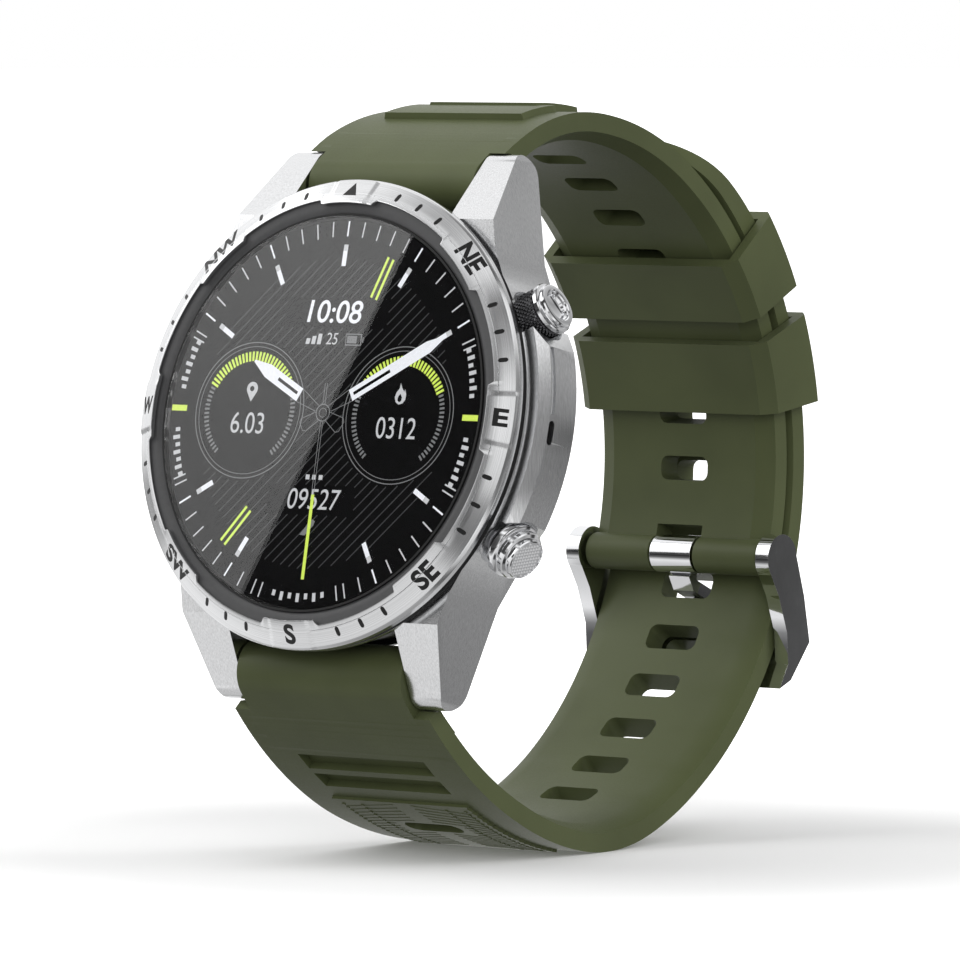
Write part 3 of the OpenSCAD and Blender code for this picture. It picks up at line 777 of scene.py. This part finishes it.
def plan_width(y):
    """Width of the strap by its depth behind the dial."""
    points = ((0, 25.6), (17, 25.6), (34, 23.8), (50, 23.0), (90, 23.0))
    for (y0, w0), (y1, w1) in zip(points, points[1:]):
        if y <= y1:
            return w0 + (w1 - w0) * max(0, y - y0) / (y1 - y0)
    return 23.0


def strap_outline(centre, phi, r_in, r_out, width, bevel_w=2.0, bevel_h=0.9):
    """One cross-section of a strap half, its wrist side bevelled."""
    h = width / 2
    shape = ((-h + bevel_w, r_in), (-h, r_in + bevel_h), (-h, r_out), (h, r_out), (h, r_in + bevel_h),
             (h - bevel_w, r_in))
    return [(x, *polar(centre, r, phi)) for x, r in shape]


def arc_steps(a, b, step):
    n = max(2, round(abs(b - a) / step))
    return [a + (b - a) * i / n for i in range(n + 1)]


def slot_cutter(phi, width, length, corner=0.9, r_from=30.0, r_to=46.0):
    """A slot with rounded corners, through the strap towards the loop's middle."""
    outline = []
    for sx, sz, start in ((1, 1, 0), (-1, 1, 90), (-1, -1, 180), (1, -1, 270)):
        for k in range(6):
            a = radians(start + 18 * k)
            outline.append((sx * (width / 2 - corner) + corner * cos(a), sz * (length / 2 - corner) + corner * sin(a)))
    c, s = cos(radians(phi)), sin(radians(phi))
    stations = []
    for r in (r_from, r_to):
        stations.append([(x, LOOP_C[0] + r * c - t * s, LOOP_C[1] + r * s + t * c) for x, t in outline])
    return solid(sweep(stations))


def head_to_loop(u, z):
    """A point of the head's side view in the loop's plane: y, z from the dial's middle."""
    return u * UP.y + z * OUT.y, u * UP.z + z * OUT.z


def lug_room(s, x_low, x_high):
    """Room in the flare for the tip of a lug."""
    points = [(26.75 + 2.25 * cos(radians(a)), -9.05 + 2.25 * sin(radians(a))) for a in range(-90, 41, 10)]
    points += [(28.1, -7.2), (20, -2), (20, -11.3)]
    return solid(prism_x([head_to_loop(s * u, z) for u, z in points], x_low, x_high))


def round_bar(centre, r, x_from, x_to, sides=48, edge=0.3):
    """A rubber roll across the strap, its rims rounded."""
    stations = []
    for x, k in ((x_from, r - edge), (x_from + edge * 0.3, r - edge * 0.3), (x_from + edge, r), (x_to - edge, r),
                 (x_to - edge * 0.3, r - edge * 0.3), (x_to, r - edge)):
        stations.append([(x, *polar(centre, k, 360 * i / sides)) for i in range(sides)])
    return solid(sweep(stations))


# 12 o'clock half
stations = []
for phi in arc_steps(122, 85, 1.6)[:-1]:
    y = polar(TOP_C, TOP_R, phi)[0]
    stations.append(strap_outline(TOP_C, phi, TOP_R - THICK, TOP_R, plan_width(y)))
for phi in arc_steps(85, BUCKLE_PHI, 1.6):
    y = polar(LOOP_C, INNER_R[1], phi)[0]
    stations.append(strap_outline(LOOP_C, phi, *INNER_R, plan_width(y)))
upper = solid(sweep(stations))
for x_low, x_high in ((-15, -END_W / 2), (END_W / 2, 15)):
    combine(upper, lug_room(1, x_low, x_high), "DIFFERENCE")
end = [polar(TOP_C, TOP_R, phi) for phi in arc_steps(112, 126.2, 1.2)]
end += [polar(TOP_C, TOP_R - THICK - 0.8, phi) for phi in arc_steps(126.2, 112, 1.2)]
combine(upper, solid(prism_x(end, -END_W / 2, END_W / 2)), "UNION")
combine(upper, solid(prism_x([polar(BAR_UP, 2.93, a) for a in range(0, 360, 5)], -END_W / 2, END_W / 2)), "UNION")
combine(upper, round_bar(BUCKLE_C, BUCKLE_ROLL_R, -11.5, 11.5), "UNION")
combine(upper, solid(prism_x([polar(BUCKLE_C, 3.2, a) for a in range(0, 360, 10)], -3, 3)), "DIFFERENCE")
head_step = degrees(HOLE_PITCH / INNER_R[0])
for k in range(8):
    combine(upper, slot_cutter(-2.1 + k * head_step, 6.2, 2.6), "DIFFERENCE")
for width, arcs in ((19, (TOP_C, TOP_R, 0.7, 92, 104)), (15, (LOOP_C, INNER_R[1], 0.9, 80.5, 91))):
    centre, r, rise, a, b = arcs
    pad = [[(x, *polar(centre, q, phi)) for x, q in (
        (-width / 2, r - 1), (-width / 2 + 0.5, r + rise), (width / 2 - 0.5, r + rise), (width / 2, r - 1))]
        for phi in arc_steps(a, b, 1.5)]
    combine(upper, solid(sweep(pad)), "UNION")
clean(upper, 0.3)
soften(upper, 0.28, 3, 22)
settle(upper, "strap_upper_body", M_strap, "watch", LOOP, 40, "strap_upper")

# 6 o'clock half
stations = []
for phi in arc_steps(-140, -100, 1.2)[:-1]:
    y = polar(FRONT_C, FRONT_R, phi)[0]
    stations.append(strap_outline(FRONT_C, phi, FRONT_R - THICK, FRONT_R, plan_width(y), 2.6))
for phi in arc_steps(-100, -71.2, 1.8)[:-1]:
    y = polar(LOW_C, LOW_R, phi)[0]
    stations.append(strap_outline(LOW_C, phi, LOW_R - THICK, LOW_R, plan_width(y), 2.6))
for phi in arc_steps(-71.2, 35, 1.6)[:-1]:
    y = polar(LOOP_C, OUTER_R[1], phi)[0]
    stations.append(strap_outline(LOOP_C, phi, *OUTER_R, plan_width(y), 2.6))
for phi in arc_steps(35, 66, 1.0):
    turn = radians(phi - 35)
    outer = 10.7 * cos(turn) + sqrt(30 ** 2 - (10.7 * sin(turn)) ** 2)
    y = polar(LOOP_C, outer, phi)[0]
    half = 11.5 if y > 55 else sqrt(max(4, 11.5 ** 2 - (55 - y) ** 2))
    stations.append(strap_outline(LOOP_C, phi, OUTER_R[0], outer, 2 * half, min(2.0, half / 3), 0.5))
lower = solid(sweep(stations))
for x_low, x_high in ((-15, -END_W / 2), (END_W / 2, 15)):
    combine(lower, lug_room(-1, x_low, x_high), "DIFFERENCE")
end = [polar(FRONT_C, FRONT_R, phi) for phi in arc_steps(-132, -143, 0.8)]
end += [polar(FRONT_C, FRONT_R - THICK - 0.8, phi) for phi in arc_steps(-143, -132, 0.8)]
combine(lower, solid(prism_x(end, -END_W / 2, END_W / 2)), "UNION")
combine(lower, solid(prism_x([polar(ROLL_LOW, 3.4, a) for a in range(0, 360, 5)], -END_W / 2, END_W / 2)), "UNION")
tail_step = degrees(HOLE_PITCH / OUTER_R[0])
for k in range(-5, 9):
    combine(lower, slot_cutter(-21.6 + k * tail_step, 6.6, 2.9), "DIFFERENCE")
for phi in (-129.8, -125.4):
    recess = [polar(FRONT_C, r, a) for r, a in ((44.1, phi - 1.6), (47, phi - 1.6), (47, phi + 1.6), (44.1, phi + 1.6))]
    combine(lower, solid(prism_x(recess, -8.3, 8.3)), "DIFFERENCE")
# raised tread on the front curve, its rims toothed
TREAD_H, TREAD_RISE = 9.0, 0.33
plate = [[(x, *polar(FRONT_C, r, phi)) for x, r in (
    (-TREAD_H, FRONT_R - 0.6), (-TREAD_H + (0.35 if k % 2 else 0.05), FRONT_R + TREAD_RISE),
    (TREAD_H - (0.35 if k % 2 else 0.05), FRONT_R + TREAD_RISE), (TREAD_H, FRONT_R - 0.6))]
    for k, phi in enumerate(arc_steps(-121, -100.4, 0.6))]
combine(lower, solid(sweep(plate)), "UNION")
recess = slot_cutter(0, 7.2, 2.6, 1.2, 0, 1)
recess.data.transform(Matrix.Translation((0, -LOOP_C[0], -LOOP_C[1])))
a = radians(-112.6)
recess.data.transform(Matrix.Translation((0, FRONT_C[0] + 44.6 * cos(a), FRONT_C[1] + 44.6 * sin(a)))
                      @ Matrix.Rotation(a, 4, "X"))
combine(lower, recess, "DIFFERENCE")
clean(lower, 0.3)
soften(lower, 0.22, 3, 22)
settle(lower, "strap_lower_body", M_strap, "watch", LOOP, 40, "strap_lower")

# the tread's slanting ribs and its rows of studs
tread = bmesh.new()


def stud(corners, low, high):
    """A small raised block on the front curve, from its corners of x and angle."""
    rows = [[tread.verts.new((x, *polar(FRONT_C, FRONT_R + TREAD_RISE + h, phi))) for x, phi in corners]
            for h in (low, high)]
    tread.faces.new(rows[0])
    tread.faces.new(rows[1][::-1])
    bridge(tread, *rows)


PITCH_DEG, RIB_IN, RIB_OUT, RIB_SHORT, RIB_THICK = 1.02, 1.2, 8.2, 4.6, 0.18
for k in range(18):
    phi = -120.4 + PITCH_DEG * k
    beside_recess = -115.2 < phi < -110.4
    x_in, lag = (RIB_SHORT, 0.7) if beside_recess else (RIB_IN, 0.0)
    for side in (-1, 1):
        stud([(side * x_in, phi + lag), (side * RIB_OUT, phi + 1.5), (side * RIB_OUT, phi + 1.5 + RIB_THICK),
              (side * x_in, phi + lag + RIB_THICK)], -0.1, 0.045)
        for x in (5.4, 7.9):
            stud([(side * x, phi + 0.62), (side * (x + 0.3), phi + 0.62), (side * (x + 0.3), phi + 0.95),
                  (side * x, phi + 0.95)], -0.1, 0.1)
finish_mesh("strap_tread", tread, M_strap, "watch", LOOP, 20)

# keepers
WALL, CLEAR = 1.2, 0.3
for name, (a, b) in (("upper_keeper", (26.5, 39.0)), ("lower_keeper", (8.4, 21.8))):
    half = 11.5 + CLEAR + WALL
    low, high = INNER_R[0] - CLEAR, OUTER_R[1] + CLEAR
    outer = ((-half + 1.6, low - WALL), (-half, low), (-half, high + 0.6), (-half + 0.6, high + WALL),
             (half - 0.6, high + WALL), (half, high + 0.6), (half, low), (half - 1.6, low - WALL))
    inside = half - WALL
    inner = ((-inside + 0.01, low), (-inside, low + 0.01), (-inside, high - 0.01), (-inside + 0.01, high),
             (inside - 0.01, high), (inside, high - 0.01), (inside, low + 0.01), (inside - 0.01, low))
    work = bmesh.new()
    rows = []
    for phi in arc_steps(a, b, 1.0):
        rows.append([[work.verts.new((x, *polar(LOOP_C, r, phi))) for x, r in shape] for shape in (outer, inner)])
    for (out_a, in_a), (out_b, in_b) in zip(rows, rows[1:]):
        for i in range(8):
            j = (i + 1) % 8
            work.faces.new((out_a[i], out_a[j], out_b[j], out_b[i]))
            work.faces.new((in_a[j], in_a[i], in_b[i], in_b[j]))
    for out_row, in_row in (rows[0], rows[-1]):
        bridge(work, out_row, in_row)
    band = soften(solid(work), 0.3, 3, 20)
    settle(band, name + "_band", M_keeper, name, LOOP, 40, name)


# ---------- bezel, case, crown, button and buckle ----------

softened_copy("mid_case", "case_body", M_case, "watch", 0.16, 2, 25)
softened_copy("buckle_frame", "buckle_frame_polished", M_polished, "buckle", 0.32, 4, 25)
softened_copy("buckle_tongue", "buckle_tongue_polished", M_polished, "tongue", 0.18, 3, 25)
softened_copy("inner_ring", "inner_ring_satin", M_ring, "watch", 0.05, 2, 25)
softened_copy("case_back", "case_back_polished", M_back, "watch", 0.15, 2, 25)

# The bezel's face falls away outward. It is wider under each letter, and raised at the four main points.
BEZEL_R, FIELD_R, RIM_R, LIP_Z, TAB_LIFT = 24.5, 21.75, 22.3, 0.04, 0.1
SECTORS = 1080


def face_z(r):
    return 0.62 - 0.6 * (r - FIELD_R)


def ease(t):
    return min(1.0, max(0.0, t))


def bezel_section(at):
    """The bezel's outline of radius and height at a clock angle."""
    from_letter = abs((at + 22.5) % 45 - 22.5)
    from_main = abs((at + 45) % 90 - 45)
    field = ease((9.5 - from_letter) / 0.9)
    tab = ease((7.0 - from_main) / 1.3)
    inside = RIM_R - (RIM_R - FIELD_R) * field
    lift = TAB_LIFT * tab
    edge = BEZEL_R - 0.1 * (1 - tab)
    return [(22.8, -1.9), (BEZEL_R - 0.12, -1.95), (BEZEL_R, -1.83), (BEZEL_R, -1.28 + lift),
            (BEZEL_R - 0.03, -1.2 + lift), (edge - 0.05, face_z(edge) - 0.05 + lift),
            (edge - 0.14, face_z(edge - 0.14) + lift),
            (23.3, face_z(23.3) + lift), (inside + 0.16, face_z(inside + 0.16) + lift),
            (inside + 0.05, face_z(inside + 0.05) - 0.03 + lift), (inside, face_z(inside) - 0.12 + lift),
            (inside, LIP_Z + 0.05), (inside + 0.05, LIP_Z), (22.8, LIP_Z)]


work = bmesh.new()
loops = [[work.verts.new((*clock(r, 360 * i / SECTORS), z)) for r, z in bezel_section(360 * i / SECTORS)]
         for i in range(SECTORS)]
for a, b in zip(loops, loops[1:] + loops[:1]):
    bridge(work, a, b)
bezel = finish_mesh("bezel_ring", work, M_bezel, "bezel", smooth=14)
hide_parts("compass_bezel")


def lay_on_bezel(work, lift):
    """Lays flat marks on the bezel's sloping face: they are cut finely and follow it."""
    for r in (22.4, 22.8, 23.2, 23.6, 24.0):
        for k in range(24):
            a = radians(15 * k)
            bmesh.ops.bisect_plane(work, geom=work.verts[:] + work.edges[:] + work.faces[:], dist=1e-5,
                                   plane_co=(r * cos(a), r * sin(a), 0), plane_no=(cos(a), sin(a), 0))
    for vert in work.verts:
        vert.co.z = face_z(hypot(vert.co.x, vert.co.y)) + lift + (0.015 if vert.co.z > 0.5 else -0.04)


marks = bmesh.new()


def add_mark(work, lift=0.0):
    lay_on_bezel(work, lift)
    mesh = bpy.data.meshes.new("mark")
    work.to_mesh(mesh)
    work.free()
    marks.from_mesh(mesh)
    bpy.data.meshes.remove(mesh)


LETTER_R = 23.15
for text, at, turn in (("E", 90, 0), ("S", 180, 0), ("W", 270, 0), ("NE", 45, -45), ("SE", 135, 45), ("SW", 225, -45),
                       ("NW", 315, 45)):
    word = bmesh.new()
    single = len(text) == 1
    wide = 0.8 if text == "W" else 1.2
    add_letters(word, 0.0, 1.0, text, 2.45 if single else 2.4, clock(LETTER_R, at), turn, wide, 0.085)
    add_mark(word, TAB_LIFT if single else 0.0)
arrow = bmesh.new()
extrude(arrow, [clock(24.05, 0), clock(22.6, 2.2), clock(22.6, -2.2)], 0.0, 1.0)
add_mark(arrow, TAB_LIFT)
for main in range(4):
    for step in (15, 22.5, 30, 60, 67.5, 75):
        dash = bmesh.new()
        extrude(dash, [(x, y) for x, y in rounded_bar(90 * main + step, 22.8, 23.7, 0.46)], 0.0, 1.0)
        add_mark(dash)
finish_mesh("bezel_marks", marks, M_mark, "bezel")

CROWN_AT, BUTTON_AT, CROWN_Z = 62.5, 118.5, -5.4


def radial(at):
    """A frame whose Z points away from the dial's axis at a clock angle, at the crown's height."""
    return (HEAD @ Matrix.Rotation(radians(90 - at), 4, "Z") @ Matrix.Translation((0, 0, CROWN_Z))
            @ Matrix.Rotation(radians(90), 4, "Y"))


def lathe(profile, sides=96):
    """A closed profile of radius and height turned about Z."""
    work = bmesh.new()
    loops = []
    for r, z in profile:
        if r < 1e-6:
            loops.append([work.verts.new((0, 0, z))])
        else:
            loops.append([work.verts.new((r * cos(2 * pi * i / sides), r * sin(2 * pi * i / sides), z))
                          for i in range(sides)])
    for a, b in zip(loops, loops[1:]):
        for i in range(sides):
            j = (i + 1) % sides
            quad = [a[i % len(a)], a[j % len(a)], b[j % len(b)], b[i % len(b)]]
            quad = [v for k, v in enumerate(quad) if v not in quad[:k]]
            if len(quad) > 2:
                work.faces.new(quad)
    return work


def saw(t):
    """A triangle wave between 0 and 1 with a period of 1."""
    return abs(2 * (t % 1) - 1)


# knurled barrel: a diamond pattern cut into a drum with a bore for the spring
KNURLS, ROWS, SIDES = 34, 26, 272
drum = bmesh.new()
rows = []
for k in range(ROWS + 1):
    z = 23.85 + 2.35 * k / ROWS
    ends = 0 if k in (0, ROWS) else 1
    row = []
    for i in range(SIDES):
        a = i / SIDES
        cut = min(saw(a * KNURLS + z * 1.9), saw(a * KNURLS - z * 1.9)) * ends
        r = 2.52 + 0.2 * cut
        row.append(drum.verts.new((r * cos(2 * pi * a), r * sin(2 * pi * a), z)))
    rows.append(row)
bore = [[drum.verts.new((r * cos(2 * pi * i / SIDES), r * sin(2 * pi * i / SIDES), z)) for i in range(SIDES)]
        for r, z in ((2.0, 23.85), (2.0, 25.2), (0.82, 25.2), (0.82, 26.2))]
for a, b in zip(rows[::-1] + bore, rows[-2::-1] + bore + [rows[-1]]):
    bridge(drum, a, b)
crown = finish_mesh("crown_barrel", drum, M_knurl, "crown", radial(CROWN_AT), 20)
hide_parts("crown_knob")

end_ring = lathe([(0.84, 26.3), (2.3, 26.3), (2.62, 26.36), (2.75, 26.5), (2.75, 26.86), (2.66, 26.98), (2.42, 27.04),
                  (2.38, 27.12), (2.38, 27.4), (2.3, 27.54), (2.12, 27.6), (1.78, 27.6), (1.66, 27.52), (1.6, 27.36),
                  (1.42, 27.24), (1.3, 26.95), (1.1, 26.86), (0.0, 26.84), (0.0, 26.32), (0.84, 26.3)])
ring_piece = finish_mesh("crown_end_polished", end_ring, M_polished, "crown", radial(CROWN_AT), 25)
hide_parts("crown_end_ring")

head = lathe([(2.0, 25.5), (2.7, 25.5), (2.92, 25.58), (3.0, 25.75), (3.0, 26.3), (2.92, 26.48), (2.74, 26.58),
              (2.62, 26.62), (2.6, 26.9), (2.66, 27.0), (2.66, 27.38), (2.56, 27.54), (2.34, 27.62), (2.24, 27.66),
              (2.22, 27.9), (2.24, 28.12), (2.16, 28.26), (2.02, 28.3), (1.98, 28.22), (0.0, 28.2), (0.0, 27.2),
              (0.82, 27.2), (0.82, 26.3), (2.0, 26.3), (2.0, 25.5)])
head_piece = finish_mesh("button_polished", head, M_polished, "button", radial(BUTTON_AT), 25)
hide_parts("button_head")

# the button's end: rows of small pyramids
PITCH = 0.37
pyramids = bmesh.new()
span = int(2.0 / PITCH) + 1
for i in range(-span, span + 1):
    for j in range(-span, span + 1):
        x, y = i * PITCH, j * PITCH
        if hypot(x, y) > 1.86:
            continue
        h = PITCH * 0.48
        foot = [pyramids.verts.new((x + sx * h, y + sy * h, 28.19)) for sx, sy in ((-1, -1), (1, -1), (1, 1), (-1, 1))]
        tip = pyramids.verts.new((x, y, 28.39))
        pyramids.faces.new(foot[::-1])
        for k in range(4):
            pyramids.faces.new((foot[k], foot[(k + 1) % 4], tip))
finish_mesh("button_pyramids", pyramids, M_polished, "button", radial(BUTTON_AT) @ Matrix.Rotation(radians(20), 4, "Z"),
            20)
